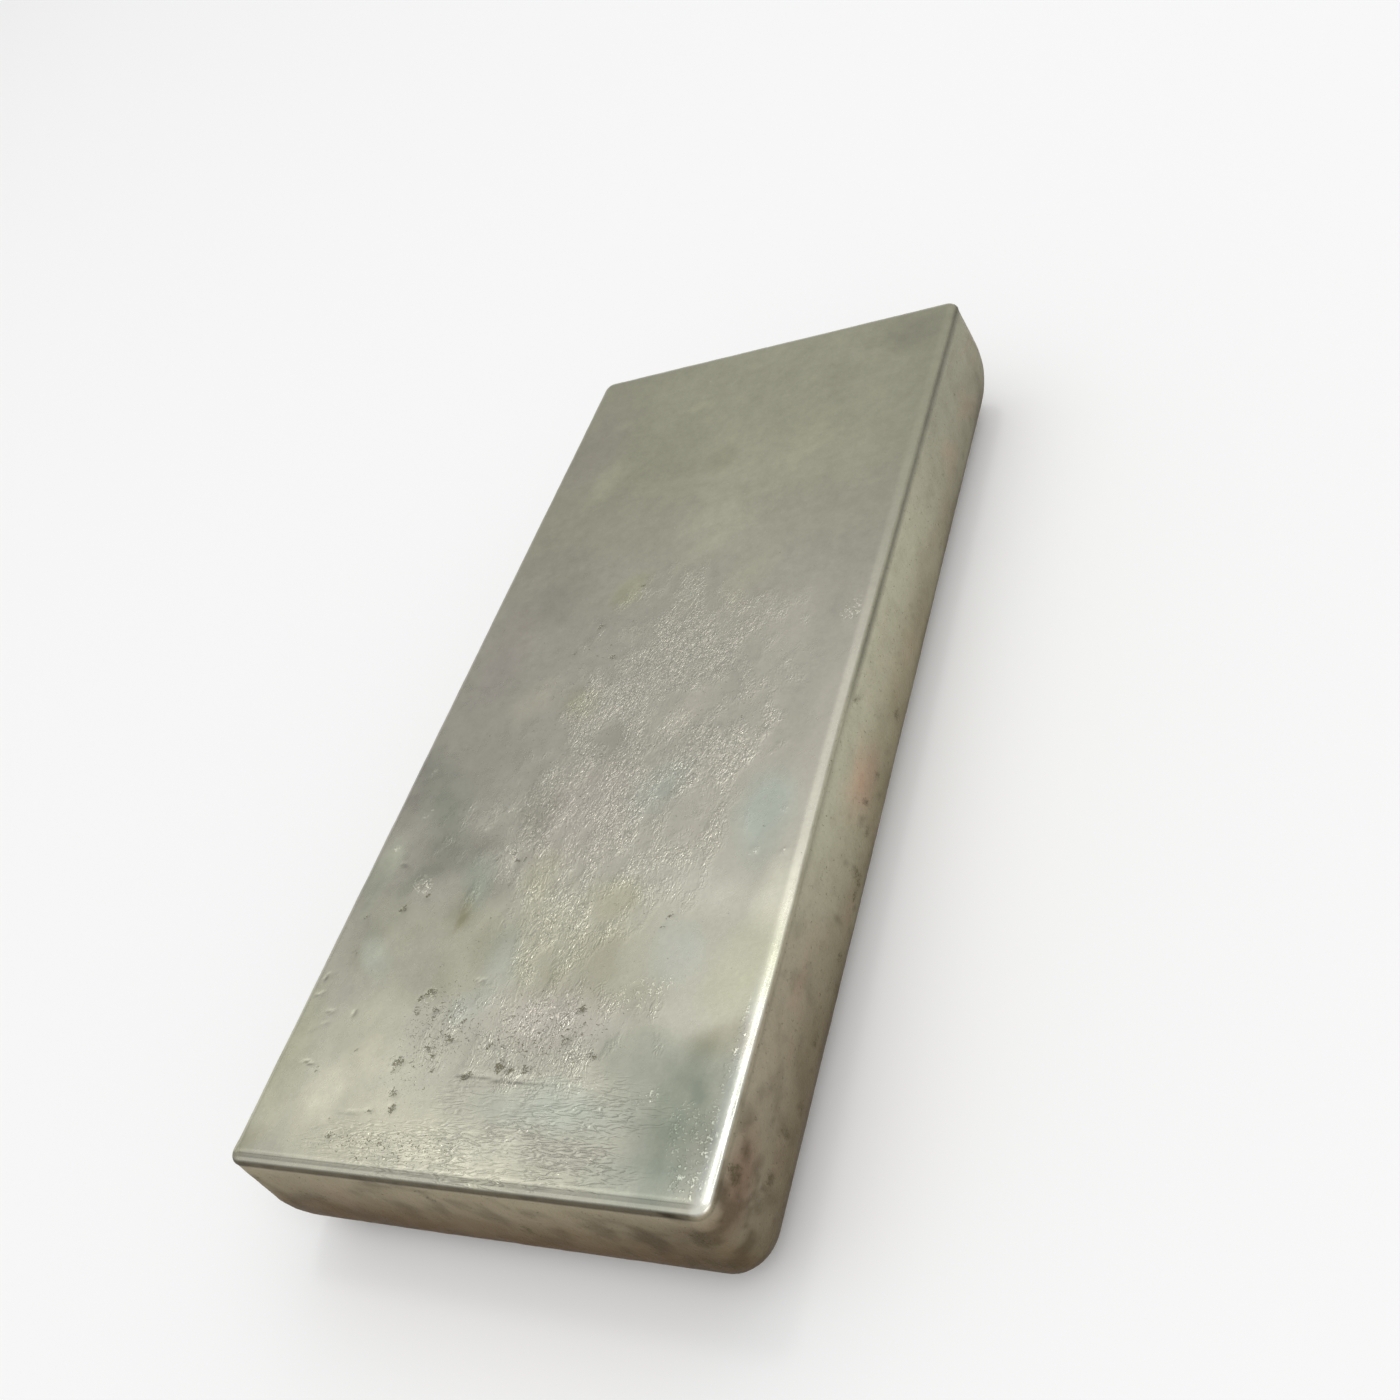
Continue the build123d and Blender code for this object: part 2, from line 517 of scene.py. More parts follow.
def face_relief(points):
    """Depth of the mould face's skin below the plain face, in mm."""
    x, y, _ = points.T
    bent = drift(points, 2.6, (21, 22), 0.9)
    threads = 1 - np.abs(noise(bent, (1.3, 2.0, 1.3), 23)) / 0.45
    worms = np.clip(threads, 0, 1) ** 1.3 + 0.5 * np.clip(noise(bent, (1.1, 1.5, 1.1), 24), 0, 1)
    height = WORM_HEIGHT * worm_zone(points) * worms

    # wrinkles that run along the near edge, and the faint waves of the whole face
    wrinkles = np.clip(cloud(bent, (3.6, 0.9, 2), 31, 2), -0.2, 1)
    height += WRINKLE_HEIGHT * wrinkle_zone(points) * wrinkles
    height += WAVE_HEIGHT * cloud(points, (22, 30, 20), 35, 2)

    # crusts, lumps, scars and pits
    grit = np.clip(cloud(points, 0.95, 41, 2), -0.3, 1)
    height += GRIT_HEIGHT * crust_zone(points) * grit
    for px, py, radius, tall in LUMPS:
        height += tall * spot(points, px, py, 2 * radius, 2 * radius)
    for px, py, length, width, turn, depth in SCARS:
        height -= depth * spot(points, px, py, length, width, turn)
    for px, py, radius, depth in PITS:
        height -= 0.5 * depth * spot(bent, px, py, 2.4 * radius, 1.8 * radius)

    # the straight step, which rises away from the camera and levels out behind it
    step = smooth(y + 0.2 * noise(points, 3.0, 45), STEP_Y, STEP_Y + 0.5)
    run = plateau(x, -4.5, -3, 13, 17)
    height += STEP_HEIGHT * run * step * (1 - smooth(y, -70, -60))
    return FACE_DEPTH - height


def wall_relief(points):
    """Depth of the walls' skin, in mm."""
    swell = WALL_SWELL * (1 + cloud(points, (20, 26, 9), 51, 2)) / 2
    dimples = WALL_DIMPLE * np.clip(cloud(points, (2.4, 2.4, 1.6), 55, 3), -0.6, 1)
    return WALL_DEPTH + swell + dimples


def under_relief(points):
    """Depth of the cast underside, with the shrinkage hollow, in mm."""
    run = (HOLLOW_LENGTH - HOLLOW_WIDTH) / 2
    past = np.clip(np.abs(points[:, 1]) - run, 0, None)
    reach = np.hypot(points[:, 0], past) / (HOLLOW_WIDTH / 2)
    hollow = HOLLOW_DEPTH * np.clip(1 - reach ** 2, 0, 1)
    folds = 1 + np.clip(cloud(points, (7, 11, 5), 61, 4), -1, 1)
    return hollow + FOLD_HEIGHT * folds * (1 - smooth(reach, *FOLD_ZONE))


def flare(points):
    """Lets the right wall stand steeper near the camera, so that the rim there lies further out."""
    x, y, z = points.T
    share = smooth(-y, 15, 55) * smooth(z, 11, 21) * smooth(x, 20, 37)
    return points + np.column_stack([FLARE * share, 0 * x, 0 * x])


def carve(points, normals):
    """Moves each point in, against its normal, by the depth of the relief there."""
    # shares of the mould face, the underside and the walls in the skin, by where it faces
    up = smooth(normals[:, 2], 0.80, 0.97)
    down = smooth(-normals[:, 2], 0.93, 0.995)
    sides = np.clip(1 - up - down, 0, 1)
    ripple = RIM_DEPTH + RIM_RIPPLE * cloud(points, (5, 5, 5), 71, 2)
    rim = smooth(points[:, 2], *RIM_ZONE)
    depth = up * face_relief(points) + down * under_relief(points)
    depth += sides * (rim * np.clip(ripple, 0, None) + (1 - rim) * wall_relief(points))
    return points - normals * np.clip(depth, 0, None)[:, None]


# Colour and finish of the skin

def tone(red, green, blue):
    """Blender's linear values for a colour that a screen shows, each of its numbers from 0 to 255."""
    share = np.array([red, green, blue]) / 255
    return np.where(share > 0.04045, ((share + 0.055) / 1.055) ** 2.4, share / 12.92)


# Tarnish and painted reflections on the mould face: x, y, length, width, turn in degrees, and the
# tint at its middle, which multiplies the plain colour. The dark and pale patches are painted
# reflections of dark and bright surroundings, with some tarnish among the dark ones
TARNISH_AND_PAINTED_REFLECTIONS = (
    # dark patches: painted reflections of dark surroundings, and some tarnish
    (33.5, -73.5, 20.0, 20.0, 0.0, (0.60, 0.65, 0.63)),
    (30.0, -74.0, 28.0, 22.0, 0.0, (0.78, 0.82, 0.81)),
    (35.0, -64.5, 14.0, 8.0, 0.0, (0.74, 0.73, 0.68)),
    (31.0, -82.0, 26.0, 12.0, 0.0, (0.70, 0.76, 0.76)),
    (26.0, -67.0, 32.0, 13.0, -12.0, (0.78, 0.81, 0.80)),
    (36.0, -79.0, 10.0, 12.0, 0.0, (0.84, 0.84, 0.84)),
    (20.0, -58.5, 14.0, 10.0, 0.0, (0.88, 0.88, 0.86)),
    (-16.0, -58.0, 14.0, 12.0, 0.0, (0.84, 0.84, 0.82)),
    (-7.0, -51.0, 12.0, 12.0, 0.0, (0.86, 0.86, 0.84)),
    (-36.0, -40.0, 9.0, 14.0, 0.0, (0.80, 0.80, 0.80)),
    (30.0, 80.0, 20.0, 14.0, 0.0, (0.90, 0.90, 0.90)),
    (-24.0, 18.0, 24.0, 22.0, 0.0, (0.88, 0.88, 0.88)),
    (-37.0, -21.0, 10.0, 20.0, 0.0, (0.80, 0.80, 0.80)),
    (-24.0, -35.0, 22.0, 14.0, 0.0, (0.82, 0.82, 0.82)),
    (-10.0, -41.0, 9.0, 9.0, 0.0, (0.82, 0.82, 0.82)),
    (0.0, -16.0, 22.0, 12.0, 0.0, (0.88, 0.88, 0.88)),
    (11.0, -68.0, 34.0, 10.0, 0.0, (0.92, 0.92, 0.92)),
    (11.0, -54.0, 30.0, 17.0, 0.0, (0.86, 0.86, 0.83)),
    (-9.0, -29.0, 26.0, 12.0, 100.0, (0.78, 0.79, 0.77)),
    (-16.0, -45.0, 12.0, 10.0, 100.0, (0.84, 0.84, 0.80)),
    (-16.0, -33.0, 10.0, 8.0, 0.0, (0.84, 0.84, 0.84)),
    (-27.0, -39.0, 14.0, 7.0, 30.0, (0.84, 0.86, 0.84)),
    (31.0, 78.0, 16.0, 18.0, 0.0, (0.91, 0.91, 0.91)),
    (0.0, 52.0, 9.0, 12.0, 0.0, (0.86, 0.86, 0.84)),
    (-38.0, -84.0, 14.0, 8.0, 30.0, (0.80, 0.80, 0.72)),
    (-29.0, -25.0, 38.0, 13.0, 128.0, (0.80, 0.84, 0.82)),
    (-15.0, -40.0, 16.0, 9.0, 120.0, (0.84, 0.92, 0.91)),
    (-29.0, -45.0, 13.0, 10.0, 90.0, (0.88, 0.90, 0.86)),
    (-15.6, -46.4, 3.2, 8.6, -8.0, (0.79, 0.77, 0.67)),
    (27.0, -77.0, 12.0, 12.0, 0.0, (0.88, 0.88, 0.88)),
    (-33.0, -44.0, 12.0, 28.0, 0.0, (0.88, 0.88, 0.88)),
    # bluish patches
    (-28.4, -52.5, 16.0, 6.5, 122.0, (1.10, 1.16, 1.18)),
    (-4.0, -53.5, 10.0, 19.0, 15.0, (1.00, 1.05, 1.11)),
    (-7.0, -61.0, 12.0, 8.0, 0.0, (1.00, 1.04, 1.08)),
    (24.0, -52.0, 13.0, 16.0, 20.0, (1.00, 1.05, 1.11)),
    (31.5, -30.0, 15.0, 22.0, 0.0, (0.98, 1.08, 1.11)),
    (12.0, -74.5, 34.0, 9.0, 0.0, (0.96, 1.03, 1.05)),
    (12.0, -24.0, 14.0, 16.0, 0.0, (0.97, 1.02, 1.04)),
    # yellowish patches
    (36.0, -55.0, 16.0, 24.0, 0.0, (1.03, 1.05, 0.96)),
    (10.7, -43.4, 14.0, 9.0, 20.0, (0.99, 0.99, 0.91)),
    (-3.0, -39.0, 10.0, 12.0, 0.0, (0.99, 0.99, 0.91)),
    (-36.0, -69.0, 10.0, 32.0, 0.0, (1.02, 1.04, 0.94)),
    (-9.5, 19.8, 14.0, 10.0, 60.0, (0.97, 0.98, 0.88)),
    (-10.0, -6.0, 10.0, 14.0, 60.0, (0.98, 0.99, 0.90)),
    (-5.0, -51.0, 90.0, 28.0, 0.0, (1.00, 1.00, 0.94)),
    # pinkish grey
    (8.0, -62.0, 34.0, 16.0, 0.0, (0.94, 0.91, 0.95)),
    (-1.0, -28.0, 34.0, 30.0, 0.0, (1.02, 0.99, 1.01)),
    (-33.0, 62.0, 20.0, 40.0, 0.0, (1.01, 0.98, 1.05)),
    (-30.0, 10.0, 20.0, 50.0, 0.0, (1.01, 0.98, 1.01)),
    # pale patches: painted reflections of bright surroundings
    (-35.0, -39.0, 8.0, 22.0, 0.0, (1.20, 1.26, 1.20)),
    (-22.0, -79.0, 56.0, 22.0, 0.0, (1.24, 1.24, 1.18)),
    (4.0, -83.5, 60.0, 7.0, 0.0, (1.10, 1.10, 1.06)),
    (0.0, -80.5, 38.0, 11.0, 0.0, (1.22, 1.22, 1.20)),
    (27.0, -12.0, 24.0, 56.0, 0.0, (1.08, 1.08, 1.08)),
    (37.5, -14.0, 12.0, 96.0, 0.0, (1.15, 1.15, 1.15)),
    (31.0, -43.0, 14.0, 12.0, 0.0, (1.10, 1.10, 1.10)),
    (17.0, 52.0, 12.0, 30.0, 0.0, (1.08, 1.08, 1.07)),
    (-32.0, -69.0, 10.0, 14.0, 0.0, (1.10, 1.10, 1.08)),
    (-31.0, -44.0, 8.0, 10.0, 30.0, (1.12, 1.12, 1.10)),
    (13.0, -8.0, 18.0, 12.0, 30.0, (1.18, 1.18, 1.17)),
    (-20.0, -4.0, 18.0, 14.0, 60.0, (1.16, 1.16, 1.12)),
    (-16.0, -69.0, 34.0, 10.0, 0.0, (1.10, 1.10, 1.08)),
    (5.0, 34.0, 22.0, 12.0, 0.0, (1.12, 1.12, 1.11)),
    (7.0, 48.0, 40.0, 34.0, 0.0, (1.08, 1.08, 1.08)),
    (-24.0, -66.0, 22.0, 20.0, 0.0, (1.10, 1.10, 1.06)),
    (24.0, -42.0, 24.0, 14.0, 0.0, (1.10, 1.11, 1.12)),
    (5.0, 27.5, 22.0, 10.0, 20.0, (1.10, 1.10, 1.08)),
    (-10.3, 69.8, 8.0, 4.5, 10.0, (1.10, 1.11, 1.08)),
    (-29.3, 69.2, 8.0, 5.0, 0.0, (1.10, 1.10, 1.08)),
    (14.0, 20.0, 22.0, 12.0, 80.0, (1.06, 1.06, 1.02)),
    (37.0, -43.0, 9.0, 16.0, 0.0, (1.28, 1.28, 1.26)),
    (26.0, 6.0, 14.0, 22.0, 0.0, (1.08, 1.08, 1.08)),
    (-22.0, -62.0, 34.0, 16.0, 0.0, (1.12, 1.12, 1.11)),
    (-19.0, -73.0, 44.0, 20.0, 0.0, (1.10, 1.10, 1.10)),
    (2.0, -63.0, 24.0, 10.0, 0.0, (1.12, 1.12, 1.12)),
    (-4.0, -83.0, 40.0, 7.0, 0.0, (1.12, 1.12, 1.13)),
    (-26.0, -52.0, 9.0, 7.0, 0.0, (1.06, 1.06, 1.06)),
    (-26.0, 52.0, 12.0, 14.0, 0.0, (1.18, 1.18, 1.16)),
    (-26.0, -74.0, 14.0, 12.0, 0.0, (1.16, 1.16, 1.15)),
)

# Plain colours: the mould face along its length, paler towards the camera partly as painted
# reflection, the long walls and the near wall at their top and foot, the near wall's darkened with
# painted shade, and the underside
FACE_FAR = tone(170, 169, 148)
FACE_MIDDLE = tone(180, 177, 164)
FACE_NEAR = tone(198, 196, 180)
SIDE_HIGH = tone(175, 172, 150)
SIDE_LOW = tone(112, 102, 72)
END_HIGH = tone(165, 155, 130)
END_LOW = tone(95, 74, 46)
UNDER = tone(172, 168, 155)

# What lies on them: dirt, whose colour also gives the painted contact shadow along the walls' foot,
# and rust; how much bluer the rim is near the camera, a painted tint where the lamp's highlight
# falls, and how much browner the right wall is
DIRT_AND_FOOT_SHADE = tone(78, 66, 48)
RUST = tone(143, 118, 99)
RIM_SHEEN = np.array([0.03, 0.04, 0.12])
WARMTH = np.array([0.0, 0.09, 0.11])

# Dirty corner of the walls, and the brown spots of the right wall: y, z, length, height and strength
DIRTY_CORNER = (41.0, -88.0)
BROWN_SPOTS = ((-80.0, 19.0, 20.0, 9.0, 1.0), (-17.0, 13.5, 20.0, 9.0, 0.7))

# Roughness of the bare skin: the mould face at its nearest, the underside and the walls
FACE_ROUGHNESS = 0.26
UNDER_ROUGHNESS = 0.5
WALL_ROUGHNESS = 0.46


def near_wall(points):
    """1 on the near wall, 0 on the other walls and a soft step at the corners between them."""
    return smooth(-points[:, 1] - np.abs(points[:, 0]), 44, 48)


def brown_spots(points):
    """How brown the right wall is in its spots, from 0 to 1."""
    flat = points[:, 1:]
    total = sum(share * spot(flat, y, z, length, height, softness=0.9)
                for y, z, length, height, share in BROWN_SPOTS)
    return total * smooth(points[:, 0], 30, 38)


def dirt_and_foot_shade_share(points, level_up):
    """How much dirt and painted shade cover the walls: dirt in specks, at the near side and round its
    right end, and a painted contact shadow low down along the foot.

    level_up is the height, raised and lowered in slow waves.
    """
    x, y, z = points.T
    speckle = smooth(cloud(points, (5, 5, 3.5), 87, 4), -0.1, 0.8)
    specks = smooth(cloud(points, (1.8, 1.8, 1.4), 89, 2), 0.45, 0.95)
    specks = specks * (1 + smooth(x, 30, 38) * smooth(-y, 10, 30))
    corner = 1 - smooth(np.hypot(x - DIRTY_CORNER[0], y - DIRTY_CORNER[1]), 4, 24)
    dirt = (0.12 + 0.18 * near_wall(points) + 0.15 * smooth(-y, 30, 60)) * speckle
    dirt += 0.45 * corner * (0.25 + 0.75 * speckle)
    dirt += 0.35 * specks * (1 - smooth(z, 8, 22))
    dirt += 0.45 * brown_spots(points) * smooth(-y, 40, 60)
    dirt += 0.25 * smooth(x, 15, 38) * smooth(-y, 80, 84) * (1 - smooth(z, 19, 22))
    # painted contact shadow: darker along the foot of the walls
    dirt += 0.45 * (1 - smooth(level_up, 4.5, 8.5))
    dirt += 0.3 * wall_pit_zone(points)
    return np.clip(dirt, 0, 0.8)


def wall_colours(points):
    """Colour of the walls: pale on top, darker downwards, with painted shade, rust and dirt."""
    x, y, z = points.T
    level_up = z + 1.6 * cloud(points, (12, 12, 6), 85)
    long_walls = blend(SIDE_LOW, SIDE_HIGH, smooth(level_up + 4 * smooth(y, 0, 70), 2, 23))
    shade = 1.06 - 0.31 * smooth(y, 15, 65) - 0.30 * smooth(-y, 20, 60)
    warm = smooth(-y, 30, 62) * smooth(x, 20, 35)
    long_walls = long_walls * shade[:, None] * (1 - WARMTH * warm[:, None])
    # the near wall's tones are darkened with painted shade
    end_walls = blend(END_LOW, END_HIGH, smooth(level_up, 8, 26))
    wall = blend(long_walls, end_walls, near_wall(points))

    rust = 0.35 * smooth(cloud(points, (12, 12, 6), 88, 3), 0.1, 0.9) * (1 - smooth(z, 17, 21))
    rust = np.clip(rust + 0.8 * brown_spots(points), 0, 0.9)
    as_bright = np.mean(wall, axis=1, keepdims=True) / np.mean(RUST)
    wall = blend(wall, RUST * as_bright, rust)
    return blend(wall, DIRT_AND_FOOT_SHADE, dirt_and_foot_shade_share(points, level_up))


def face_marks_and_relief_shading(points):
    """Brightness of the step's dark line of painted shade and its lip's painted highlight, of the scars'
    painted shade and highlights, and of the pits' darker bottoms.
    """
    x, y, _ = points.T
    run = plateau(x, -4.2, -3.4, 6, 16)
    past_step = y + 0.02 * x + 0.25 * noise(points, 2.5, 45) - STEP_Y
    # the step: a dark line of painted shade, and a painted highlight on its lip
    marks = 1 - 0.50 * run * plateau(past_step, 0.0, 0.2, 0.3, 0.5)
    marks += 0.14 * run * plateau(past_step, 0.5, 0.8, 1.1, 1.7)
    bent = drift(points, 1.3, (27, 28), 0.5)
    for px, py, radius, depth in PITS:
        marks -= 1.8 * depth * spot(bent, px, py, 2.2 * radius, 1.6 * radius)

    # each scar is dark with painted shade, with a painted highlight on the lip of its far side
    for px, py, length, width, turn, depth in SCARS:
        marks -= 7.5 * depth * spot(bent, px, py, length, 0.9 * width, turn)
        lip_x = px - 0.35 * sin(radians(turn))
        marks += 6.5 * depth * spot(bent, lip_x, py + 0.45, 0.9 * length, 0.9 * width, turn)
    return np.clip(marks, 0.5, 1.4)


def face_colours(points):
    """Colour of the mould face: tarnish and painted reflections on three tones, darker at long edges."""
    x, y, _ = points.T
    moved = drift(points, (9, 12, 9), (81, 82), 1.3, octaves=3)
    # three tones, paler towards the camera: partly the metal's own tone, partly painted reflection
    near = smooth(-y, 15, 62)[:, None]
    far = smooth(y, -5, 60)[:, None]
    face = FACE_MIDDLE * (1 - near) * (1 - far) + FACE_NEAR * near + FACE_FAR * far
    edges = 0.08 * smooth(-x, 8, 36) + 0.08 * smooth(x, 27, 37)
    face = face * (1.04 + (0.06 - edges) * smooth(y, -60, -35))[:, None]

    ragged = 1 + 0.4 * cloud(points, (6, 8, 6), 84, 3)
    for px, py, length, width, turn, tint in TARNISH_AND_PAINTED_REFLECTIONS:
        share = np.clip(spot(moved, px, py, length, width, turn, 0.9) * ragged, 0, 1)
        face = blend(face, face * np.array(tint), share)
    # random patches, and a painted sheen where the worm-like wrinkles lie, round their glinting crests
    mottling = 1 + 0.05 * cloud(points, (16, 20, 12), 83, 2) + 0.06 * worm_zone(points)
    face = face * (mottling * face_marks_and_relief_shading(points))[:, None]

    # painted tint for the lamp's highlight: bluer on the rim near the camera, so it shows whiter
    bare = smooth(x, 36.8, 37.6) * smooth(-y, 48, 60)
    return face * (1 + bare[:, None] * RIM_SHEEN)


def painted_rim_shading(points):
    """Brightness of the rim, painted reflection and shade: a dark band, palest at the right near the
    camera, with fine lines.
    """
    x, y, z = points.T
    near_side = smooth(-y, 84.6, 85.2) * (1 - smooth(x, 36, 39))
    # the dark band along the rim is a painted reflection of dark surroundings, with painted shade
    band_all = plateau(z, 22.05, 22.45, 23.15, 23.27)
    band_low = plateau(z, 21.6, 22.1, 22.8, 23.15)
    edge = plateau(z, 22.1, 22.4, 22.6, 22.8)
    depth = 0.36 + 0.06 * smooth(-y, -45, -30) - 0.28 * smooth(-y, 0, 15) - 0.14 * smooth(-y, 25, 50)
    near_dark = 0.62 * band_all + 0.10 * edge
    other_dark = depth * band_low + 0.16 * edge
    dark = near_dark * near_side + other_dark * (1 - near_side)

    # facets: painted highlights and painted shade as bright and dark lines along the near side's groove,
    # and a painted reflection as a paler strip at the right
    stripes = 0.20 * plateau(-y, 83.8, 84.0, 84.24, 84.34) - 0.30 * plateau(-y, 84.32, 84.42, 84.98, 85.1)
    stripes -= 0.10 * smooth(-y, 85.02, 85.15)
    stripes *= 1 - smooth(x, *RIGHT_RIM)
    facet = 0.06 * smooth(x, 37.4, 37.9) * smooth(z, 22.95, 23.15) * smooth(-y, -40, 10)
    return (1 - dark) * (1 + stripes + facet)


def skin_colours(points, up, down):
    """Colour of the metal at each point, with the rim's painted reflection and shade."""
    sides = 1 - up - down
    rim = painted_rim_shading(points)
    colours = face_colours(points) * (rim * up)[:, None] + UNDER * down[:, None]
    return colours + wall_colours(points) * (rim * sides)[:, None]


def oxide(points, up):
    """Share of dull oxide over the bare metal: none on the mould face, most at the near wall."""
    _, y, z = points.T
    wall = 0.45 + 0.2 * (1 - smooth(z, 6, 20)) + 0.35 * smooth(-y, 80, 85)
    return np.clip(wall + 0.1 * cloud(points, (8, 8, 5), 95, 2), 0, 0.9) * (1 - up)


def skin_finish(points, up, down):
    """Roughness, and how thick the fine worm-like wrinkles, the pits and the crust are."""
    y = points[:, 1]
    sides = 1 - up - down
    face_rough = FACE_ROUGHNESS + 0.10 * smooth(y, -60, 60) + 0.03 * cloud(points, (11, 11, 11), 91)
    face_rough -= 0.06 * spot(points, 32, -76, 30, 20, 35, 0.8)
    rough = face_rough * up + UNDER_ROUGHNESS * down + WALL_ROUGHNESS * sides
    worms = worm_zone(points) * up + 0.25 * sides + 0.4 * down
    pitted = pit_zone(points) * up + (0.25 + 0.6 * wall_pit_zone(points)) * sides + 0.3 * down
    crust = crust_zone(points) * up
    return np.column_stack([rough, worms, pitted, crust])


# Material

# Heights of the finest relief, which only the shading shows
WORM_BUMP = 0.085
WRINKLE_BUMP = 0.12
GRAIN_BUMP = 0.008
GRIT_BUMP = 0.12
PIT_BUMP = 0.06

# Colour of the pits' bottoms, how strongly they take it, and the gloss of the oxide
PIT_STAIN = (*tone(96, 90, 66), 1.0)
PIT_STAIN_SHARE = 0.75
OXIDE_GLOSS = 0.02

# Numbers of the Mix node's sockets for colours: three inputs and the output
MIX_SHARE, MIX_FIRST, MIX_SECOND = 0, 6, 7
MIXED = 2


def add(tree, kind, inputs=(), **settings):
    """Adds a node with these properties. Each input gets a value, or a link from another socket."""
    made = tree.nodes.new(kind)
    for name, value in settings.items():
        setattr(made, name, value)
    for name, value in dict(inputs).items():
        if isinstance(value, bpy.types.NodeSocket):
            tree.links.new(value, made.inputs[name])
        else:
            made.inputs[name].default_value = value
    return made


def empty_tree(owner):
    """The node tree of a new material or world, with nothing in it."""
    owner.use_nodes = True
    owner.node_tree.nodes.clear()
    return owner.node_tree


def maths(tree, operation, a, b=0.0, clamp=False):
    """Result of one operation on two values, each a number or a socket."""
    return add(tree, "ShaderNodeMath", {0: a, 1: b}, operation=operation, use_clamp=clamp).outputs[0]


def weighted_sum(tree, *terms):
    """Sum of values, each times its weight."""
    total = 0.0
    for value, weight in terms:
        inputs = {0: value, 1: weight, 2: total}
        total = add(tree, "ShaderNodeMath", inputs, operation="MULTIPLY_ADD").outputs[0]
    return total


def spread(tree, value, low, high, to_low, to_high, kind="LINEAR"):
    """Brings a value from one range to another, and holds it there."""
    inputs = {"Value": value, "From Min": low, "From Max": high, "To Min": to_low, "To Max": to_high}
    return add(tree, "ShaderNodeMapRange", inputs, interpolation_type=kind).outputs["Result"]


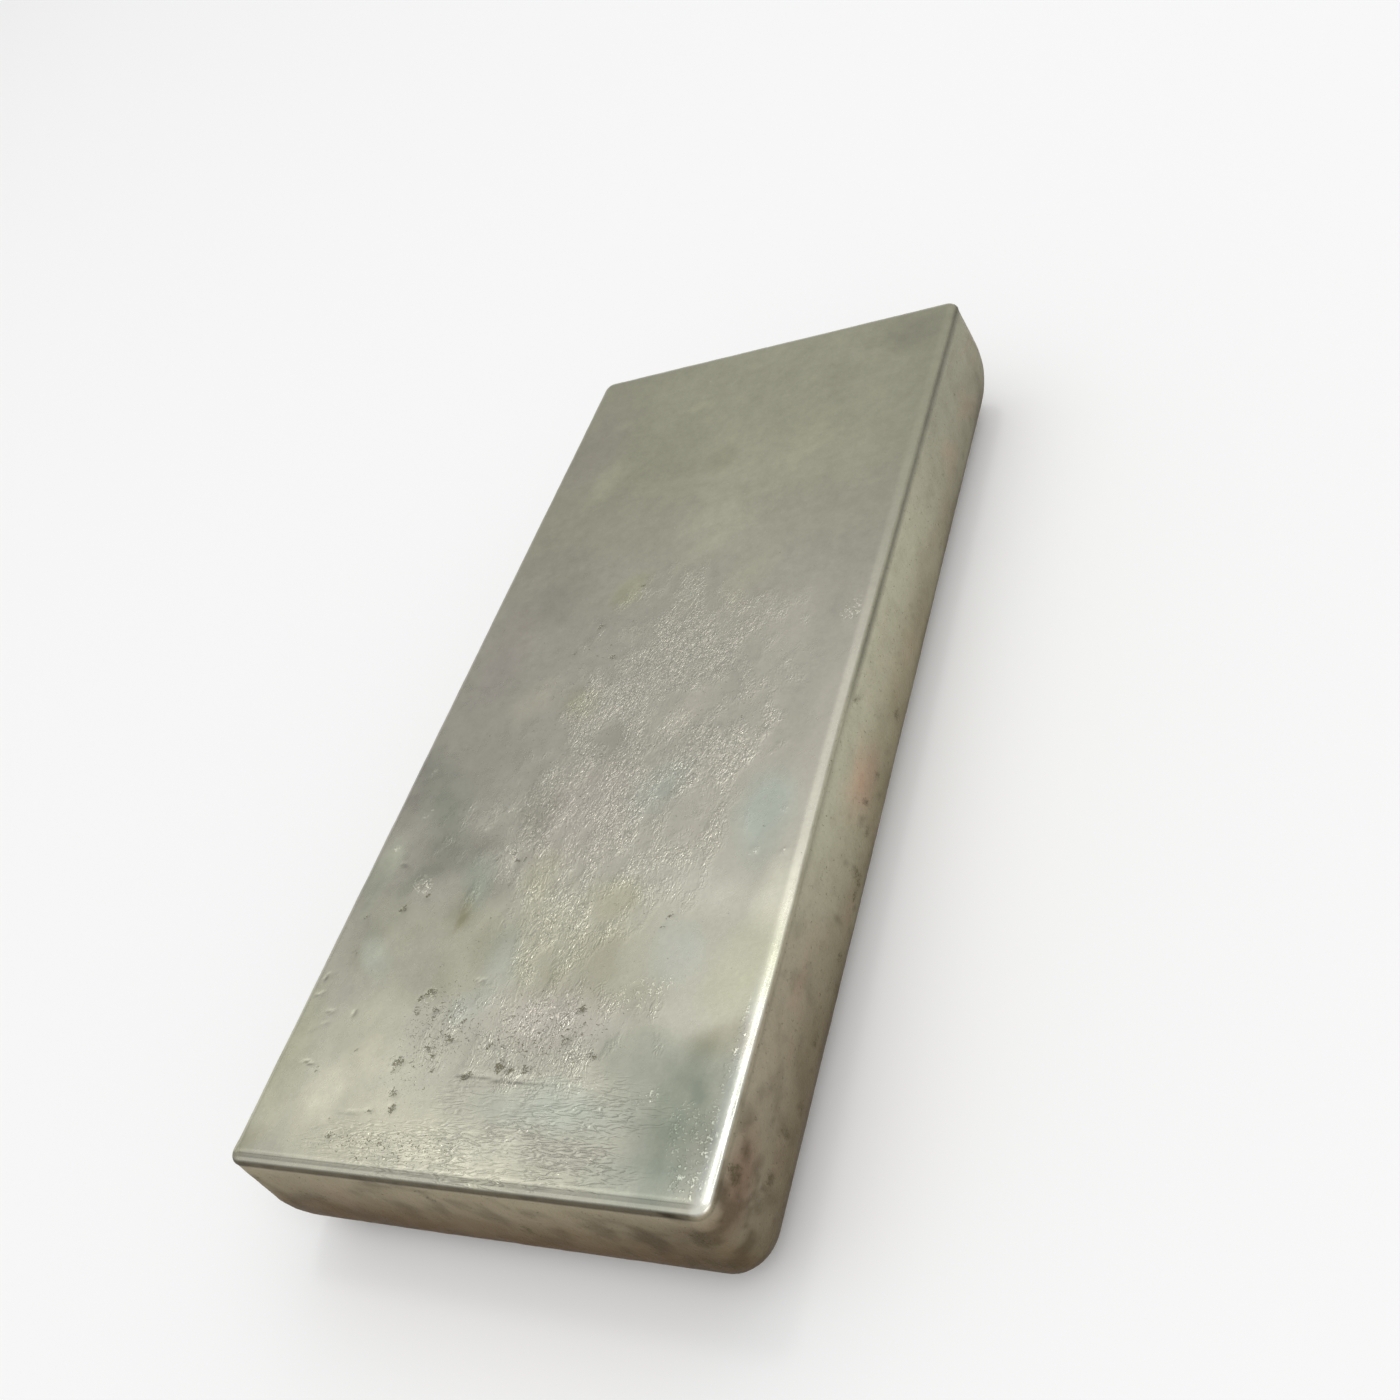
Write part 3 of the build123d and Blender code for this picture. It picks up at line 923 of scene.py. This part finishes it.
def metal_material():
    """Cast white metal: tarnish and painted reflections, fine wrinkles, grain and pits, in a satin skin.
    """
    material = bpy.data.materials.new("white_metal_cast")
    tree = empty_tree(material)

    # what the mesh gives at each point: the painted colour and the finish of the skin
    where = add(tree, "ShaderNodeTexCoord").outputs["Object"]
    place = add(tree, "ShaderNodeVectorMath", {0: where, "Scale": 1 / MM}, operation="SCALE").outputs[0]
    colour = add(tree, "ShaderNodeAttribute", attribute_name="skin")
    finish = add(tree, "ShaderNodeAttribute", attribute_name="finish")
    parts = add(tree, "ShaderNodeSeparateColor", {"Color": finish.outputs["Color"]})
    rough, worms, pitted = (parts.outputs[name] for name in ("Red", "Green", "Blue"))
    crust = finish.outputs["Alpha"]
    wrinkled = colour.outputs["Alpha"]

    def texture(scale, detail=2.0, roughness=0.5, squeeze=(1.0, 1.0, 1.0), distortion=0.0):
        """Noise with about this many lumps to a millimetre, squeezed along each axis."""
        squeezed = {0: place, 1: squeeze}
        vector = add(tree, "ShaderNodeVectorMath", squeezed, operation="MULTIPLY").outputs[0]
        inputs = {"Vector": vector, "Scale": scale, "Detail": detail, "Roughness": roughness,
                  "Distortion": distortion}
        return add(tree, "ShaderNodeTexNoise", inputs).outputs["Fac"]

    def threads(thickness, *settings):
        """Thin winding ridges, 1 along their tops and 0 between them."""
        apart = maths(tree, "ABSOLUTE", maths(tree, "SUBTRACT", texture(*settings), 0.5))
        return spread(tree, apart, 0.0, thickness, 1.0, 0.0, "SMOOTHSTEP")

    # dark flecks where the skin is pitted, pale grit where it is crusty
    fleck = texture(2.0, 3.0, 0.6, (1.0, 1.35, 1.0), 1.2)
    fleck = weighted_sum(tree, (fleck, 1.0), (pitted, 0.27))
    pit = spread(tree, fleck, 0.71, 0.78, 0.0, 1.0, "SMOOTHSTEP")
    grit = spread(tree, texture(2.2, 2.0, 0.6), 0.54, 0.64, 0.0, 1.0, "SMOOTHSTEP")
    grit = maths(tree, "MULTIPLY", grit, crust)

    # colour: the painted one, mottled at two sizes, paler on the grit and stained in the pits
    blotch = spread(tree, texture(0.22, 4.0, 0.6), 0.3, 0.7, 0.97, 1.03)
    grain = spread(tree, texture(1.6, 3.0, 0.6), 0.3, 0.7, 0.96, 1.04)
    shade = maths(tree, "MULTIPLY", blotch, grain)
    shade = maths(tree, "MULTIPLY", shade, spread(tree, grit, 0.0, 1.0, 1.0, 1.9))
    painted = {0: colour.outputs["Color"], "Scale": shade}
    painted = add(tree, "ShaderNodeVectorMath", painted, operation="SCALE").outputs[0]
    stain = maths(tree, "MULTIPLY", pit, PIT_STAIN_SHARE)
    stained = {MIX_SHARE: stain, MIX_FIRST: painted, MIX_SECOND: PIT_STAIN}
    stained = add(tree, "ShaderNodeMix", stained, data_type="RGBA").outputs[MIXED]

    # fine wrinkles between those that the mesh has: worm-like ones, and ones along the near edge
    coarse = threads(0.20, 0.85, 1.0, 0.5, (1.3, 0.65, 1.0), 1.2)
    fine = threads(0.18, 1.5, 1.0, 0.5, (0.8, 1.0, 1.0), 1.0)
    worm = weighted_sum(tree, (coarse, 1.0), (fine, 0.5))
    worm = maths(tree, "MULTIPLY", worm, spread(tree, worms, 0.10, 0.55, 0.0, 1.0))
    wrinkle = maths(tree, "MULTIPLY", threads(0.20, 0.8, 1.5, 0.5, (0.45, 1.9, 1.0), 0.8), wrinkled)
    rasp = texture(3.0, 3.0, 0.6)
    height = weighted_sum(tree, (worm, WORM_BUMP), (wrinkle, WRINKLE_BUMP), (rasp, GRAIN_BUMP),
                          (grit, GRIT_BUMP), (pit, -PIT_BUMP))
    bump = {"Height": height, "Distance": MM, "Strength": 1.0}
    normal = add(tree, "ShaderNodeBump", bump).outputs["Normal"]

    # the pits are rougher and duller than the skin round them
    uneven = spread(tree, texture(0.5, 3.0), 0.3, 0.7, -0.04, 0.05)
    rough = maths(tree, "ADD", weighted_sum(tree, (rough, 1.0), (pit, 0.2)), uneven, clamp=True)
    dull = add(tree, "ShaderNodeAttribute", attribute_name="oxide").outputs["Fac"]
    metallic = maths(tree, "SUBTRACT", 1.0, weighted_sum(tree, (dull, 1.0), (pit, 0.6)), clamp=True)
    inputs = {"Base Color": stained, "Metallic": metallic, "Roughness": rough, "Normal": normal,
              "Specular IOR Level": OXIDE_GLOSS}
    shader = add(tree, "ShaderNodeBsdfPrincipled", inputs)
    add(tree, "ShaderNodeOutputMaterial", {"Surface": shader.outputs[0]})
    return material


# The ingot

def put(name, data):
    """A new object in the scene."""
    made = bpy.data.objects.new(name, data)
    bpy.context.scene.collection.objects.link(made)
    return made


def make_ingot():
    """The bar's carved and coloured skin, which stands for the CAD solid."""
    points, faces = bar_mesh()
    points = flare(points)
    mesh = bpy.data.meshes.new("ingot_skin")
    mesh.from_pydata((points * MM).tolist(), [], faces)
    mesh.update()
    normals = np.empty(len(points) * 3)
    mesh.vertex_normals.foreach_get("vector", normals)
    normals = normals.reshape(-1, 3)
    carved = carve(points, normals)

    # no point may lie outside the CAD part's box
    low, high = (np.array(corner) / MM for corner in cad_box)
    carved = np.clip(carved, low, high)
    mesh.vertices.foreach_set("co", (carved * MM).ravel())

    # colour and finish of each point, which the material reads
    up = smooth(normals[:, 2], 0.55, 0.9)
    down = smooth(-normals[:, 2], 0.85, 0.98)
    skin = np.column_stack([skin_colours(points, up, down), up * wrinkle_zone(points)])
    for name, values in (("skin", skin), ("finish", skin_finish(points, up, down))):
        layer = mesh.attributes.new(name, "FLOAT_COLOR", "POINT")
        layer.data.foreach_set("color", values.astype(np.float32).ravel())
    layer = mesh.attributes.new("oxide", "FLOAT", "POINT")
    layer.data.foreach_set("value", oxide(points, up).astype(np.float32))
    mesh.shade_smooth()
    mesh.materials.append(metal_material())
    ingot = put("ingot_skin", mesh)
    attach(ingot, "root")
    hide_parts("ingot")


# Floor: half its width in metres, and its colour

FLOOR_HALF = 6.0
FLOOR_COLOUR = (0.94, 0.94, 0.94, 1.0)


def make_floor():
    """A plain pale floor that reaches far past the picture."""
    signs = ((-1, -1), (1, -1), (1, 1), (-1, 1))
    corners = [(x * FLOOR_HALF, y * FLOOR_HALF, 0.0) for x, y in signs]
    mesh = bpy.data.meshes.new("floor")
    mesh.from_pydata(corners, [], [(0, 1, 2, 3)])
    material = bpy.data.materials.new("floor_white")
    tree = empty_tree(material)
    shader = add(tree, "ShaderNodeBsdfDiffuse", {"Color": FLOOR_COLOUR})
    add(tree, "ShaderNodeOutputMaterial", {"Surface": shader.outputs[0]})
    mesh.materials.append(material)
    floor = put("floor", mesh)


# Light

# Brightness of the surroundings from the horizon up: height of the direction, from 0 to 1, and value
SKY = (
    (0.0, 0.82), (0.20, 0.74), (0.40, 0.52), (0.50, 0.48), (0.58, 0.50), (0.66, 0.70), (0.75, 0.95),
    (1.0, 1.05),
)

# Softboxes: name, direction from the ingot, distance and width in metres, and brightness
SOFTBOXES = (
    ("lamp_above", (-0.065, 0.285, 0.956), 3.6, 0.50, 11.0),
    ("lamp_fill", (0.50, -0.30, 0.80), 3.9, 2.52, 2.0),
)


def make_surroundings():
    """A plain studio of greys, whose brightness changes only with the height."""
    world = bpy.data.worlds.new("studio")
    bpy.context.scene.world = world
    tree = empty_tree(world)
    direction = add(tree, "ShaderNodeTexCoord").outputs["Generated"]
    height = add(tree, "ShaderNodeSeparateXYZ", {"Vector": direction}).outputs["Z"]
    ramp = add(tree, "ShaderNodeValToRGB", {"Fac": height})
    colours = ramp.color_ramp
    colours.interpolation = "EASE"
    while len(colours.elements) < len(SKY):
        colours.elements.new(0.5)
    for element, (position, value) in zip(colours.elements, SKY):
        element.position = position
        element.color = (value, value, value, 1.0)
    sky = add(tree, "ShaderNodeBackground", {"Color": ramp.outputs["Color"], "Strength": 1.0})
    add(tree, "ShaderNodeOutputWorld", {"Surface": sky.outputs[0]})


def make_softboxes():
    """Round soft lamps that face the ingot."""
    for name, direction, distance, width, brightness in SOFTBOXES:
        lamp = bpy.data.lights.new(name, "AREA")
        lamp.shape = "DISK"
        lamp.size = width
        disk_area = pi * (width / 2) ** 2
        lamp.energy = brightness * pi * disk_area
        holder = put(name, lamp)
        direction = Vector(direction).normalized()
        holder.location = direction * distance
        holder.rotation_euler = direction.to_track_quat("Z", "Y").to_euler()


# Camera, where the photo was taken from. Its places are in metres, its lens and sensor in mm

CAMERA_PLACE = Vector((0.12366, -0.13314, 0.15929))
CAMERA_AIM = Vector((0.01380, -0.00753, 0.0235))
CAMERA_ROLL = radians(-34.55)
CAMERA_LENS = 36.10
SENSOR_WIDTH = 36.0


def make_camera():
    """The scene's camera, aimed at a point of the mould face and rolled."""
    camera = put("camera", bpy.data.cameras.new("camera"))
    camera.data.sensor_width = SENSOR_WIDTH
    camera.data.lens = CAMERA_LENS
    camera.data.clip_start = 0.005
    camera.data.clip_end = 50.0
    camera.location = CAMERA_PLACE
    upright = (CAMERA_AIM - CAMERA_PLACE).to_track_quat("-Z", "Y").to_matrix()
    camera.rotation_euler = (upright @ Matrix.Rotation(CAMERA_ROLL, 3, "Z")).to_euler()
    bpy.context.scene.camera = camera


make_ingot()
make_floor()
make_surroundings()
make_softboxes()
make_camera()
bpy.context.scene.view_settings.view_transform = "Standard"
